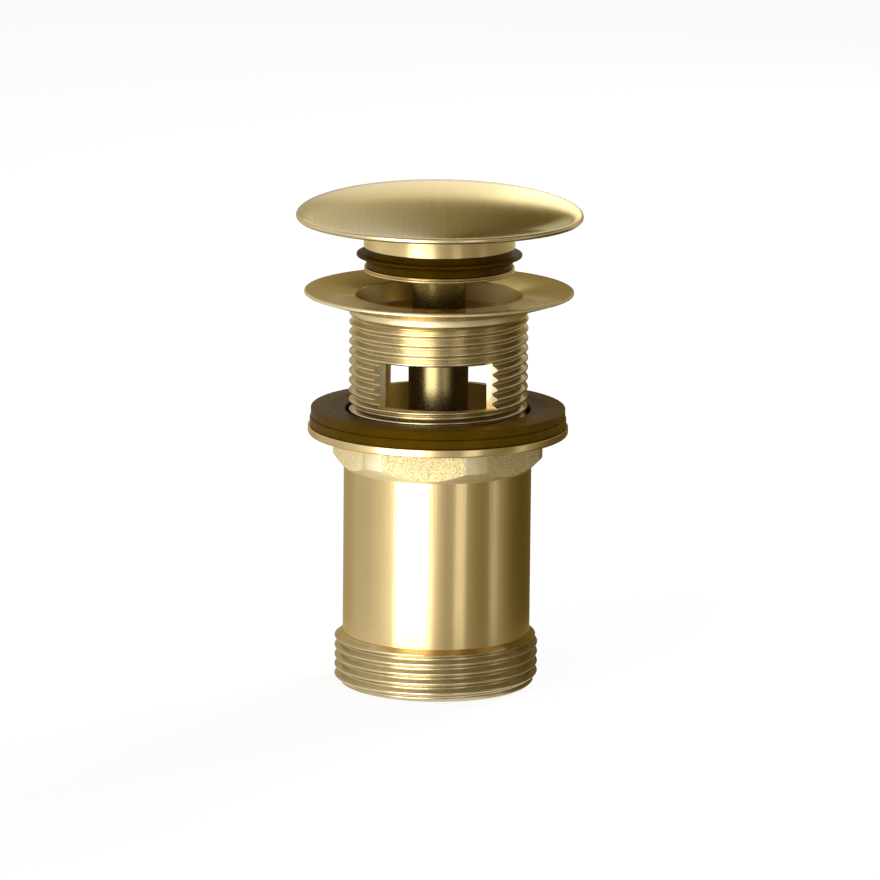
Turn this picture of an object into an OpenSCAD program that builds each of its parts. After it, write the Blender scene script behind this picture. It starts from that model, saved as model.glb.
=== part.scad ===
// Slotted push-open basin waste with a domed plug.
// The flanged neck drops through the basin and screws into the tail piece below.
// Z is up, the tail piece stands on z = 0 and the plug is in its open position.

/* [Flange and neck] */
// Diameter of the flange that shows in the basin
flange_d = 63; // [56:0.5:72]
// Height of the flange from its seat to its rim
flange_h = 3.1; // [2.2:0.1:4]
// Thickness of the flange at its rim
flange_rim_h = 0.8; // [0.7:0.1:1.8]
// Drop of the dished flange face from the rim to the mouth
flange_dish = 1.15; // [0.2:0.05:1.6]
// Width of the bevel under the flange rim
flange_bevel = 5.5; // [1:0.5:6]
// Outside diameter of the neck thread (G1 1/4)
neck_d = 41.91; // [36:0.01:48]
// Wall of the neck
neck_wall = 2.855; // [2.2:0.005:4]
// Depth of the plain relief between flange and thread
relief_depth = 0.45; // [0.1:0.05:0.6]
// Length of the plain relief under the flange
relief_h = 3.6; // [2:0.1:6]
// Share of the relief that the hollow round under the flange takes
root_share = 0.75; // [0.3:0.05:0.95]
// Bevel at the lower end of the neck
neck_bevel = 1; // [0.4:0.1:1.6]
// Step from the neck's bore out to the seat in its mouth
seat_step = 1.35; // [0.8:0.05:1.6]
// Length of the seat below the seal's lip with the plug fully pressed
seat_run = 0.9; // [0.4:0.1:3]
// Bevel on sharp turned edges
edge = 0.3; // [0.1:0.05:0.5]

/* [Threads] */
// Distance between the crests of both pipe threads, which are cut as level ridges
thread_pitch = 2.309; // [1.5:0.001:3.2]
// Depth of the threads
thread_depth = 1.475; // [0.6:0.005:1.6]
// Width of a crest
thread_crest_w = 0.5; // [0.2:0.05:0.9]

/* [Overflow windows] */
// Height of a window, which is the width of the disc cutter
window_h = 10.7; // [6:0.1:14]
// Distance from the flange seat down to the top of a window
window_drop = 11.6; // [8:0.1:14]
// Diameter of the disc cutter that is plunged in from each side
cutter_d = 52; // [30:1:80]
// Depth that the cutter reaches inside the bore
cutter_reach = 7.1; // [3:0.1:10]
// Turn of the windows about the axis
window_turn = -2; // [-45:1:45]

/* [Spider] */
// Number of arms that carry the cartridge
spider_arms = 3; // [2:1:6]
// Width of an arm
spider_arm_w = 3.2; // [2:0.1:6]
// Height of the hub and its arms
spider_h = 6; // [4:0.1:10]
// Wall of the hub round its stud
hub_wall = 2.9; // [2:0.1:5]

/* [Tail piece] */
// Outside diameter of the tail thread (G1 1/2)
tail_thread_d = 47.8; // [46:0.05:56]
// Length of the tail thread
tail_thread_h = 12.3; // [8:0.1:20]
// Bevel at the end of the tail thread
tail_bevel = 1.3; // [0.5:0.1:1.8]
// Wall of the tail tube round the neck
tube_wall = 0.945; // [0.7:0.005:2]
// Length of the tail tube between the thread and the hexagon
tube_h = 39.4; // [32:0.1:60]
// Length of the outlet bore, up to the shoulder that stops the neck
outlet_h = 30; // [16:0.5:34]
// Width of that shoulder
shoulder_w = 0.555; // [0.3:0.005:1.5]
// Step from the tube out to the flats of the hexagon
hex_step = 0.5; // [0.2:0.05:3]
// Width that is turned off each corner of the hexagon
hex_corner_cut = 1.4; // [0.2:0.1:2.5]
// Height of the hexagon with its bevel
hex_h = 7.8; // [5:0.1:14]
// Turn of the hexagon about the axis
hex_turn = -8.5; // [-30:0.1:30]
// Diameter of the collar on top of the hexagon
collar_d = 61; // [56:0.5:70]
// Thickness of the collar
collar_h = 1.9; // [1.2:0.1:4]
// Rounding under the collar's rim
collar_round = 0.9; // [0.2:0.1:1.1]

/* [Washers] */
// Outside diameter of the two washers
washer_d = 59.6; // [54:0.1:70]
// Gap between the washers and the neck
washer_gap = 0.75; // [0.3:0.05:1.5]
// Thickness of the lower friction washer
friction_washer_h = 2.1; // [1:0.1:4]
// Thickness of the upper sealing washer
sealing_washer_h = 2.2; // [1:0.1:5]
// Width of the sealing washer's flat land
washer_land_w = 4; // [2:0.1:5]
// Width of the sunken band along the sealing washer's hole
washer_band_w = 2.4; // [1:0.1:3]
// Depth of that band below the land
washer_dish = 0.4; // [0.1:0.05:0.8]
// Gap between washers and flange seat that takes the basin
basin_gap = 24.7; // [15:0.1:32]

/* [Plug] */
// Height of the dome's rim above the flange rim with the plug open
dome_lift = 17.5; // [16:0.1:26]
// Diameter of the dome
dome_d = 67; // [50:0.5:80]
// Height of the dome above its rim
dome_h = 6.5; // [5:0.1:12]
// Wall of the dome
dome_wall = 2; // [1.2:0.1:3]
// Height of the upright band at the dome's rim
dome_rim_h = 1.25; // [0.8:0.05:2]
// Radius with which the dome's crown turns down into its rim
dome_knuckle = 3; // [1:0.1:4]
// Rounding under the dome's rim
dome_round = 0.75; // [0.2:0.05:0.75]
// Wall of the threaded boss under the dome
boss_wall = 2.4; // [1.6:0.1:4]
// Depth of thread in that boss
boss_thread_h = 6.5; // [4:0.1:8]
// Gap between the plug's skirt and its seat in the neck
skirt_gap = 1.75; // [0.8:0.05:3]
// Distance from the dome's rim down to the skirt's lower edge
skirt_drop = 7.4; // [6:0.1:10]
// Wall of the hollow skirt
skirt_wall = 2; // [1.2:0.1:4]
// Floor of the hollow skirt
skirt_floor = 2.4; // [1.6:0.1:3]
// Wall of the seal round the spigot that carries it
seal_wall = 4; // [2.5:0.1:7]
// Height of the seal between skirt and retainer
seal_h = 4.6; // [3.8:0.1:7]
// Reach of the seal's lip beyond its body
seal_lip_w = 2.35; // [1:0.05:3]
// Thickness of the lip at its root
seal_lip_h = 1.2; // [0.7:0.1:1.6]
// Thickness of the lip at its tip
seal_tip_h = 0.6; // [0.3:0.1:0.7]
// Height of the lip's underside above the retainer
seal_lip_z = 2; // [1.2:0.1:2.2]
// Gap between the retainer and the neck's bore
retainer_gap = 0.5; // [0.3:0.05:1.5]
// Thickness of the retainer
retainer_h = 1.2; // [0.8:0.1:2]

/* [Cartridge] */
// Travel of the plug from open to fully pressed
press_travel = 12.5; // [8:0.1:15]
// Turn of the cam ring over that travel
press_turn = 60; // [40:1:75]
// Height from fully pressed back up to the closed latch
latch_lift = 1.5; // [1:0.1:3]
// Diameter of the cam post
post_d = 7; // [6:0.1:9]
// Gap between the collar at the post's foot and the plunger
post_collar_gap = 0.45; // [0.3:0.05:0.8]
// Height of that collar
post_collar_h = 1.5; // [1:0.1:3]
// Length of the cam post above the cam ring with the plug open
post_head_h = 2.5; // [1.6:0.1:4]
// Wall of the cam ring
cam_ring_wall = 1.65; // [1.4:0.05:2.5]
// Height of the cam ring
cam_ring_h = 4.5; // [3:0.1:6]
// Diameter of a track ball
ball_d = 2; // [1.4:0.1:2.3]
// Wall of the plunger round the cam ring
plunger_wall = 0.85; // [0.7:0.05:2]
// Width of the seat in the plunger above the cam ring
cam_seat_w = 0.95; // [0.5:0.05:1.2]
// Thickness of the plunger's threaded crown
plunger_crown_h = 4; // [3:0.1:6]
// Section of the ring that seals the plunger
plunger_seal_d = 1; // [0.7:0.05:1.2]
// Height of that ring's groove above the cam ring's seat
plunger_seal_rise = 2.4; // [1:0.1:4]
// Thickness of the clip under the cam ring
clip_h = 0.8; // [0.6:0.1:1.2]
// Depth of the clip's groove in the plunger
clip_groove = 0.45; // [0.3:0.05:0.6]
// Gap between the clip and the cam post
clip_gap = 0.7; // [0.3:0.05:0.9]
// Wall of the cartridge housing
housing_wall = 0.7; // [0.5:0.05:1.5]
// Floor of the cartridge housing
housing_floor = 2; // [1.5:0.1:4]
// Gap between housing and retainer with the plug fully pressed
housing_gap = 1.3; // [0.5:0.1:3]
// Diameter of the studs (M8)
stud_d = 8; // [6:0.5:8]
// Nut width across flats
nut_af = 13; // [11:0.5:17]
// Nut height
nut_h = 6.5; // [4:0.1:8]
// Bevel at the nut's lower corners
nut_bevel = 0.8; // [0.3:0.1:1]
// Thickness of the split washer under the nut
split_washer_h = 1.6; // [1:0.1:2.5]
// Width of the split
split_w = 0.8; // [0.4:0.1:2]
// Length of stud that stands out of its nut
stud_end = 1.5; // [0.5:0.1:3]
// Wire of the return spring
spring_wire = 0.7; // [0.5:0.05:0.9]
// Length of the return spring with the plug fully pressed
spring_pressed_h = 8; // [6:0.1:14]
// Distance from the spring's outside in to the edge of the cam post
spring_inset = 0.25; // [0.1:0.05:0.5]
// Thickness of the spring's seat
spring_seat_h = 0.8; // [0.6:0.1:1.6]
// Height of the pips that centre the spring
spring_pip_h = 1; // [0.5:0.1:1.5]

/* [Clearances] */
// Radial gap between parts that screw or slide together
slide_gap = 0.1; // [0.05:0.01:0.15]
// Axial gap at each side of the cam ring
end_gap = 0.15; // [0.1:0.05:0.3]
// Gap that is left between parts at the end of the travel
stop_gap = 0.5; // [0.4:0.05:1]

/* [Hidden] */
$fn = 96;
BRASS = "#cdb376";
CAST_BRASS = "#d9c38c";
RUBBER = "#4a380e";
POLYMER = "#54430f";
ACETAL = "#e8e2d0";
STEEL = "#b9b9b4";
// A small overlap that lets joined shapes share volume
weld = 0.3;
// Sides of the ball-end cutter that makes the track, and degrees of turn per step along it
track_fn = 12;
track_step = 10;
// Steps per coil and sides of the spring wire
coil_steps = 18;
wire_sides = 6;

// Heights of the tail piece and of what stands on it
hex_z = tail_thread_h + tube_h;
collar_z = hex_z + hex_h;
friction_washer_z = collar_z + collar_h;
sealing_washer_z = friction_washer_z + friction_washer_h;
basin_z = sealing_washer_z + sealing_washer_h;
// Heights of the flange and its windows
flange_z = basin_z + basin_gap;
flange_top_z = flange_z + flange_h;
mouth_z = flange_top_z - flange_dish;
window_z = flange_z - window_drop - window_h;
// Heights of the plug, from the dome down
dome_z = flange_top_z + dome_lift;
skirt_z = dome_z - skirt_drop;
skirt_floor_z = skirt_z + skirt_floor;
retainer_top_z = skirt_z - seal_h;
retainer_z = retainer_top_z - retainer_h;
// Heights of the cartridge, from the plug down to the end of the neck
plunger_top_z = retainer_z;
crown_z = plunger_top_z - plunger_crown_h;
spring_seat_z = crown_z - spring_seat_h;
post_top_z = spring_seat_z - spring_pressed_h - press_travel;
cam_seat_z = post_top_z - post_head_h + end_gap;
cam_ring_z = cam_seat_z - end_gap - cam_ring_h;
ball_z = cam_ring_z + cam_ring_h / 2;
clip_z = cam_ring_z - end_gap - clip_h;
post_z = clip_z - stop_gap - press_travel - post_collar_h;
plunger_z = post_z + stop_gap + press_travel;
housing_z = post_z - housing_floor;
housing_top_z = retainer_z - press_travel - housing_gap;
spider_z = housing_z - spider_h;
neck_end_z = spider_z;
nut_z = spider_z - split_washer_h - nut_h;
seat_z = retainer_top_z + seal_lip_z - press_travel - seat_run;
// Diameters of the neck, the tail piece and the washers
bore_d = neck_d - 2 * neck_wall;
mouth_d = bore_d + 2 * seat_step;
relief_d = neck_d - 2 * relief_depth;
root_round = relief_h * root_share;
socket_d = neck_d + 2 * slide_gap;
tube_d = socket_d + 2 * tube_wall;
outlet_d = socket_d - 2 * shoulder_w;
hex_corner_d = (tube_d + 2 * hex_step) / cos(30);
washer_hole_d = neck_d + 2 * washer_gap;
// Diameters of the plug
skirt_d = mouth_d - 2 * skirt_gap;
seal_lip_d = mouth_d - 2 * slide_gap;
seal_d = seal_lip_d - 2 * seal_lip_w;
spigot_d = seal_d - 2 * seal_wall;
retainer_d = bore_d - 2 * retainer_gap;
// Diameters of the cartridge, from the cam post out to the housing
stud_hole_d = stud_d + 2 * slide_gap;
cam_ring_hole_d = post_d + 2 * slide_gap;
cam_ring_d = cam_ring_hole_d + 2 * cam_ring_wall;
cam_bore_d = cam_ring_d + 2 * slide_gap;
plunger_d = cam_bore_d + 2 * plunger_wall;
plunger_bore_d = cam_bore_d - 2 * cam_seat_w;
housing_bore_d = plunger_d + 2 * slide_gap;
housing_d = housing_bore_d + 2 * housing_wall;
clip_d = cam_bore_d + 2 * clip_groove - 2 * slide_gap;
clip_hole_d = post_d + 2 * clip_gap;
spring_d = post_d - 2 * spring_inset - spring_wire;
spring_pip_d = spring_d - spring_wire - 2 * slide_gap;
spring_coils = floor((spring_pressed_h - stop_gap) / spring_wire);
ball_path_r = (post_d + cam_ring_hole_d) / 4;
track_r = ball_d / 2 / cos(180 / track_fn) + slide_gap;
// The dome's crown is part of a sphere that runs smoothly into the knuckle
dome_turn_r = dome_d / 2 - dome_knuckle;
dome_ball_r = (pow(dome_turn_r, 2) + pow(dome_h, 2) - pow(dome_knuckle, 2)) / (2 * (dome_h - dome_knuckle));
dome_ball_z = dome_z + dome_h - dome_ball_r;
dome_inner_r = dome_ball_r - dome_wall;
skirt_top_z = dome_ball_z + sqrt(pow(dome_inner_r, 2) - pow(skirt_d / 2, 2));

// Fills the corner between a wall and a floor so that taking it away leaves a round of radius r.
module outer_round(r) {
    difference() {
        translate([-r, -weld]) square([r + weld, r + weld]);
        translate([-r, r]) circle(r);
    }
}

// Fills the corner under a ceiling and beside a wall, down to a hollow round of radius r.
module inner_round(r) {
    difference() {
        translate([-weld, -r]) square([r + weld, r + weld]);
        translate([r, -r]) circle(r);
    }
}

// Ring with a square section.
module ring(d, hole_d, h) {
    difference() {
        cylinder(d = d, h = h);
        translate([0, 0, -weld]) cylinder(d = hole_d, h = h + 2 * weld);
    }
}

// Upright cylinder from height z0 to z1.
module post(d, z0, z1) {
    translate([0, 0, z0]) cylinder(d = d, h = z1 - z0);
}

// Grooves between the crests of a thread of radius r, centred between the heights z0 and z1.
module thread_grooves(r, z0, z1) {
    grooves = floor((z1 - z0 - thread_crest_w) / thread_pitch);
    first_z = (z0 + z1 - (grooves - 1) * thread_pitch) / 2;
    half_w = (thread_pitch - thread_crest_w) / 2 * (1 + weld / thread_depth);
    for (i = [0 : grooves - 1])
        translate([r, first_z + i * thread_pitch])
            polygon([[-thread_depth, 0], [weld, -half_w], [weld, half_w]]);
}

// Flange and neck as one turned section.
module neck_section() {
    flange_r = flange_d / 2;
    neck_r = neck_d / 2;
    relief_r = relief_d / 2;
    thread_z = neck_end_z + neck_bevel;
    thread_top_z = flange_z - relief_h - relief_depth;
    difference() {
        polygon([
            [mouth_d / 2, mouth_z],
            [flange_r - edge, flange_top_z],
            [flange_r, flange_top_z - edge],
            [flange_r, flange_top_z - flange_rim_h],
            [flange_r - flange_bevel, flange_z],
            [relief_r, flange_z],
            [relief_r, flange_z - relief_h],
            [neck_r, thread_top_z],
            [neck_r, thread_z],
            [neck_r - neck_bevel, neck_end_z],
            [bore_d / 2, neck_end_z],
            [bore_d / 2, seat_z - seat_step],
            [mouth_d / 2, seat_z]
        ]);
        thread_grooves(neck_r, thread_z, thread_top_z);
    }
    translate([relief_r, flange_z]) inner_round(root_round);
}

// A disc cutter plunged in from the front, past the wall and into the bore.
module window_cutter() {
    cutter_y = bore_d / 2 - cutter_reach + cutter_d / 2;
    translate([0, -cutter_y, window_z]) cylinder(d = cutter_d, h = window_h);
}

module spider() {
    hub_d = stud_hole_d + 2 * hub_wall;
    translate([0, 0, spider_z]) {
        cylinder(d = hub_d, h = spider_h);
        linear_extrude(spider_h)
            intersection() {
                circle(d = bore_d + 2 * weld);
                for (i = [0 : spider_arms - 1])
                    rotate(90 + i * 360 / spider_arms)
                        translate([0, -spider_arm_w / 2]) square([bore_d, spider_arm_w]);
            }
    }
}

// Flange, threaded neck, overflow windows and spider in one piece.
module waste_body() {
    color(BRASS)
        difference() {
            union() {
                rotate_extrude() neck_section();
                spider();
            }
            for (side = [0, 180]) rotate(window_turn + side) window_cutter();
            post(stud_hole_d, spider_z - weld, housing_z + weld);
        }
}

// Hexagon with turned corners and a 45 degree bevel that runs out on the tube.
module hexagon() {
    foot_r = tube_d / 2;
    tall = hex_h + weld;
    translate([0, 0, hex_z])
        intersection() {
            rotate(hex_turn) cylinder(d = hex_corner_d, h = tall, $fn = 6);
            cylinder(d = hex_corner_d - 2 * hex_corner_cut, h = tall);
            cylinder(r1 = foot_r, r2 = foot_r + tall, h = tall);
        }
}

// Collar, tube and tail thread as one turned section.
module tail_section() {
    thread_r = tail_thread_d / 2;
    tube_r = tube_d / 2;
    collar_r = collar_d / 2;
    thread_top_z = tail_thread_h - (thread_r - tube_r) / 2;
    difference() {
        polygon([
            [0, 0],
            [thread_r - tail_bevel, 0],
            [thread_r, tail_bevel],
            [thread_r, thread_top_z],
            [tube_r, tail_thread_h],
            [tube_r, collar_z],
            [collar_r, collar_z],
            [collar_r, friction_washer_z],
            [0, friction_washer_z]
        ]);
        translate([collar_r, collar_z]) outer_round(collar_round);
        thread_grooves(thread_r, tail_bevel, thread_top_z);
    }
}

// Collar, hexagon, tube and tail thread, bored to take the neck from above.
module tail_piece() {
    color(CAST_BRASS)
        difference() {
            union() {
                rotate_extrude() tail_section();
                hexagon();
            }
            post(outlet_d, -weld, outlet_h + weld);
            post(socket_d, outlet_h, friction_washer_z + weld);
        }
}

// Rubber washer whose top falls from a flat land to a sunken band along the hole.
module sealing_washer() {
    hole_r = washer_hole_d / 2;
    rim_r = washer_d / 2;
    color(RUBBER)
        translate([0, 0, sealing_washer_z])
            rotate_extrude()
                polygon([
                    [hole_r, 0],
                    [rim_r, 0],
                    [rim_r, sealing_washer_h],
                    [rim_r - washer_land_w, sealing_washer_h],
                    [hole_r + washer_band_w, sealing_washer_h - washer_dish],
                    [hole_r, sealing_washer_h - washer_dish]
                ]);
}

module friction_washer() {
    color(POLYMER)
        translate([0, 0, friction_washer_z])
            ring(washer_d, washer_hole_d, friction_washer_h);
}

// Corner between crown and rim that the knuckle takes off.
module knuckle_corner() {
    reach = (dome_ball_r + dome_knuckle) / (dome_ball_r - dome_knuckle);
    difference() {
        polygon([
            [dome_turn_r, dome_z],
            [dome_d / 2 + weld, dome_z],
            [dome_d / 2 + weld, dome_z + dome_h],
            [dome_turn_r * reach, dome_ball_z + (dome_z - dome_ball_z) * reach]
        ]);
        // A hair wide, so that it crosses crown and rim instead of only touching them
        translate([dome_turn_r, dome_z]) circle(dome_knuckle + weld / 100);
    }
}

// Shell of the dome as one turned section, with an upright rim.
module dome_section() {
    rim_r = dome_d / 2;
    rim_z = dome_z - dome_rim_h;
    difference() {
        intersection() {
            translate([0, dome_ball_z]) circle(dome_ball_r, $fn = 360);
            translate([0, rim_z]) square([rim_r, dome_h + dome_rim_h + weld]);
        }
        knuckle_corner();
        translate([rim_r, rim_z]) outer_round(dome_round);
        intersection() {
            translate([0, dome_ball_z]) circle(dome_inner_r, $fn = 360);
            translate([0, rim_z - weld]) square([rim_r - dome_wall, dome_h + dome_rim_h]);
        }
    }
}

// Domed shell with the threaded boss that takes the plug's stud.
module dome_cap() {
    boss_d = stud_hole_d + 2 * boss_wall;
    color(BRASS)
        difference() {
            union() {
                rotate_extrude() dome_section();
                post(boss_d, skirt_floor_z, dome_ball_z + dome_inner_r + weld);
            }
            post(stud_hole_d, skirt_floor_z - weld, skirt_floor_z + boss_thread_h);
        }
}

// Hollow skirt that closes against the dome, with the spigot that carries the seal.
module plug_body() {
    skirt_r = skirt_d / 2;
    color(BRASS)
        rotate_extrude()
            polygon([
                [stud_hole_d / 2, retainer_z],
                [spigot_d / 2, retainer_z],
                [spigot_d / 2, skirt_z],
                [skirt_r - edge, skirt_z],
                [skirt_r, skirt_z + edge],
                [skirt_r, skirt_top_z],
                [skirt_r - skirt_wall, skirt_top_z],
                [skirt_r - skirt_wall, skirt_floor_z],
                [stud_hole_d / 2, skirt_floor_z]
            ]);
}

// Rubber ring with the thin lip that wipes the seat.
module plug_seal() {
    hole_r = spigot_d / 2 + slide_gap;
    body_r = seal_d / 2;
    lip_r = seal_lip_d / 2;
    lip_top_z = seal_lip_z + seal_lip_h;
    color(RUBBER)
        translate([0, 0, retainer_top_z])
            rotate_extrude()
                polygon([
                    [hole_r, 0],
                    [body_r, 0],
                    [body_r, seal_lip_z],
                    [lip_r, lip_top_z - seal_tip_h],
                    [lip_r, lip_top_z],
                    [body_r, lip_top_z],
                    [body_r, seal_h],
                    [hole_r, seal_h]
                ]);
}

// Ring that screws onto the spigot and holds the seal.
module seal_retainer() {
    hole_r = spigot_d / 2 + slide_gap;
    rim_r = retainer_d / 2;
    color(BRASS)
        translate([0, 0, retainer_z])
            rotate_extrude()
                polygon([
                    [hole_r, 0],
                    [rim_r - edge, 0],
                    [rim_r, edge],
                    [rim_r, retainer_h],
                    [hole_r, retainer_h]
                ]);
}

// Stud that joins the plunger, the plug and the dome.
module plug_stud() {
    color(STEEL) post(stud_d, crown_z, skirt_floor_z + boss_thread_h - stop_gap);
}

// Groove and ring sit where the plunger's wall is thick.
plunger_seal_r = (plunger_d + slide_gap - plunger_seal_d) / 2;
plunger_seal_z = cam_seat_z + plunger_seal_rise + plunger_seal_d / 2 + slide_gap;

// Sleeve that rides in the housing, with the cam ring's seat and the clip's groove in its foot.
module plunger() {
    groove_h = plunger_seal_d + 2 * slide_gap;
    color(BRASS)
        difference() {
            post(plunger_d, plunger_z, plunger_top_z);
            post(cam_bore_d, plunger_z - weld, cam_seat_z);
            post(cam_bore_d + 2 * clip_groove, clip_z - slide_gap, clip_z + clip_h + slide_gap);
            post(plunger_bore_d, cam_seat_z - weld, crown_z);
            post(stud_hole_d, crown_z - weld, plunger_top_z + weld);
            translate([0, 0, plunger_seal_z - groove_h / 2])
                ring(plunger_d + 2 * weld, plunger_d - 2 * plunger_seal_d, groove_h);
        }
}

module plunger_seal() {
    color(RUBBER)
        rotate_extrude() translate([plunger_seal_r, plunger_seal_z]) circle(d = plunger_seal_d);
}

// The two balls stand opposite each other, half in the cam ring and half in the post's track.
module balls(d) {
    for (side = [0, 180])
        rotate(side) translate([ball_path_r, 0, ball_z]) sphere(d = d);
}

module cam_ring() {
    color(ACETAL)
        difference() {
            translate([0, 0, cam_ring_z]) ring(cam_ring_d, cam_ring_hole_d, cam_ring_h);
            balls(ball_d + 2 * slide_gap);
        }
}

module track_balls() {
    color(STEEL) balls(ball_d);
}

// Snap ring with a gap, seated in the plunger's groove.
module ring_clip() {
    gap_w = clip_d - clip_hole_d;
    color(STEEL)
        translate([0, 0, clip_z])
            difference() {
                ring(clip_d, clip_hole_d, clip_h);
                translate([0, -gap_w / 2, -weld]) cube([clip_d, gap_w, clip_h + 2 * weld]);
            }
}

// Thrust washer on which the plunger turns, with a pip that centres the spring.
module spring_seat() {
    color(STEEL) {
        post(plunger_bore_d - 2 * slide_gap, spring_seat_z, crown_z);
        post(spring_pip_d, spring_seat_z - spring_pip_h, spring_seat_z + spring_seat_h / 2);
    }
}

// Height along the spring at a share t of its coils: the first and last coils lie closed.
function spring_rise(t, coils, wire, span) =
    let (turn = t * coils)
    turn < 1 ? turn * wire :
    turn > coils - 1 ? span - (coils - turn) * wire :
    wire + (turn - 1) / (coils - 2) * (span - 2 * wire);

// Round wire wound into a coil from z to z + h.
module coil(d, wire, coils, z, h) {
    steps = coils * coil_steps;
    points = [
        for (i = [0 : steps])
            let (turn = 360 * i / coil_steps, rise = spring_rise(i / steps, coils, wire, h - wire))
                for (k = [0 : wire_sides - 1])
                    let (a = 360 * k / wire_sides, r = d / 2 + wire / 2 * cos(a))
                        [r * cos(turn), r * sin(turn), z + wire / 2 + rise + wire / 2 * sin(a)]
    ];
    sides = [
        for (i = [0 : steps - 1], k = [0 : wire_sides - 1])
            let (n = (k + 1) % wire_sides, a = i * wire_sides, b = a + wire_sides)
                each [[a + k, a + n, b + n], [a + k, b + n, b + k]]
    ];
    first = [for (k = [wire_sides - 1 : -1 : 0]) k];
    last = [for (k = [0 : wire_sides - 1]) steps * wire_sides + k];
    polyhedron(points, concat(sides, [first, last]));
}

module return_spring() {
    color(STEEL)
        coil(spring_d, spring_wire, spring_coils, post_top_z, spring_seat_z - post_top_z);
}

// Cuts one leg of the track with a ball-end cutter, between two [turn, drop] stations.
module track_leg(from, to) {
    steps = ceil((to[0] - from[0]) / track_step);
    function station(i) = from + (to - from) * i / steps;
    module cutter(s)
        rotate(s[0]) translate([ball_path_r, 0, ball_z - s[1]]) sphere(track_r, $fn = track_fn);
    for (i = [0 : steps - 1])
        hull() {
            cutter(station(i));
            cutter(station(i + 1));
        }
}

// One push and its return take half a turn: open, pressed, latched, pressed, open.
module track() {
    latch_turn = 90 - press_turn;
    stations = [
        [0, 0],
        [press_turn, press_travel],
        [press_turn + latch_turn, press_travel - latch_lift],
        [press_turn + 2 * latch_turn, press_travel],
        [180, 0]
    ];
    for (side = [0, 180])
        rotate(side)
            for (i = [0 : len(stations) - 2]) track_leg(stations[i], stations[i + 1]);
}

// Post with the closed track that the balls run in, and the stud that fixes the cartridge.
module core_post() {
    post_collar_d = cam_bore_d - 2 * post_collar_gap;
    color(BRASS)
        difference() {
            union() {
                post(stud_d, nut_z - stud_end, post_z + weld, $fn = 40);
                post(post_collar_d, post_z, post_z + post_collar_h, $fn = 48);
                post(post_d, post_z, post_top_z, $fn = 72);
                post(spring_pip_d, post_top_z - weld, post_top_z + spring_pip_h, $fn = 32);
            }
            track();
        }
}

// Tube that guides the plunger and stands on the spider.
module cartridge_housing() {
    color(BRASS)
        difference() {
            post(housing_d, housing_z, housing_top_z);
            post(housing_bore_d, post_z, housing_top_z + weld);
            post(stud_hole_d, housing_z - weld, post_z + weld);
        }
}

module split_washer() {
    color(STEEL)
        translate([0, 0, spider_z - split_washer_h])
            difference() {
                ring(nut_af, stud_hole_d, split_washer_h);
                translate([0, -split_w / 2, -weld]) cube([nut_af, split_w, split_washer_h + 2 * weld]);
            }
}

module lock_nut() {
    corner_d = nut_af / cos(30);
    color(BRASS)
        difference() {
            intersection() {
                post(corner_d, nut_z, nut_z + nut_h, $fn = 6);
                translate([0, 0, nut_z])
                    cylinder(d1 = corner_d - 2 * nut_bevel, d2 = corner_d + 2 * (nut_h - nut_bevel), h = nut_h);
            }
            post(stud_hole_d, nut_z - weld, nut_z + nut_h + weld);
        }
}

waste_body();
tail_piece();
sealing_washer();
friction_washer();
dome_cap();
plug_body();
plug_seal();
seal_retainer();
plug_stud();
plunger();
plunger_seal();
cam_ring();
track_balls();
ring_clip();
spring_seat();
return_spring();
core_post();
cartridge_housing();
split_washer();
lock_nut();
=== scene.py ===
"""Push-open basin waste with a domed plug: turned brass, rubber washers, and the stage they are shown on.

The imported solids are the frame. Outlines are half sections, (radius, height) in millimetres, in the part's
own frame: +Z up along the waste's axis, z = 0 under the tail piece, -Y towards the front overflow window.
"""

import math
from types import SimpleNamespace

import bmesh
import bpy
from mathutils import Euler, Matrix, Vector


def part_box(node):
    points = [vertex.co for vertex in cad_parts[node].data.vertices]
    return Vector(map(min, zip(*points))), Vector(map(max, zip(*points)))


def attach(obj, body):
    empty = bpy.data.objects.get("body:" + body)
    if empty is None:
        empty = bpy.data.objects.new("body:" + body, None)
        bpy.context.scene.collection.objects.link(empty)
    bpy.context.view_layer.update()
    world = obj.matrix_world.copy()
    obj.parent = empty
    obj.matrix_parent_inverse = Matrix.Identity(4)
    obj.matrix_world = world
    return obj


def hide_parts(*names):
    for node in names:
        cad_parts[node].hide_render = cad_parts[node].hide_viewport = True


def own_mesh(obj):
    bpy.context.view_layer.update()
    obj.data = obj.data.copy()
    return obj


bl_info = {
    "name": "Push-open basin waste",
    "version": (1, 0, 0),
    "blender": (4, 5, 0),
    "location": "View3D > Sidebar > Basin waste",
    "description": "Models a slotted basin waste with a domed plug around its packed solids",
    "category": "Object",
}

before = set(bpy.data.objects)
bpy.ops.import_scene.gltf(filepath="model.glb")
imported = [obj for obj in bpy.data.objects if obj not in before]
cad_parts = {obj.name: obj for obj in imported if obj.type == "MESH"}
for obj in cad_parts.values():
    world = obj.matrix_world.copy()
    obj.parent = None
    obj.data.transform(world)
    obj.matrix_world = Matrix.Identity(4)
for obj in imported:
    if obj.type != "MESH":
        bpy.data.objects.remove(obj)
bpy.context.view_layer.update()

MM = 0.001
WELD = 1e-6                 # metres within which points are one
TURN_STEPS = 160            # facets round a turned piece
SLIM_STEPS = 96             # the same for the slim pieces of the cartridge
THREAD_STEPS = 120          # facets round a thread
SMOOTH = math.radians(38)   # faces that meet at more than this keep a sharp edge
THREAD_DEPTH = 0.640327     # share of the pitch, as in every 55 degree pipe thread
THREAD_ROUND = 0.137329     # the same for the round of its crests and roots
FLANK_TURN = 62.5           # degrees from the middle of a crest or root to the flank


def linear(code):
    """Linear RGBA of an sRGB hex colour."""
    channels = [int(code[i:i + 2], 16) / 255 for i in (1, 3, 5)]
    return tuple(c / 12.92 if c <= 0.04045 else ((c + 0.055) / 1.055) ** 2.4 for c in channels) + (1.0,)


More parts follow.
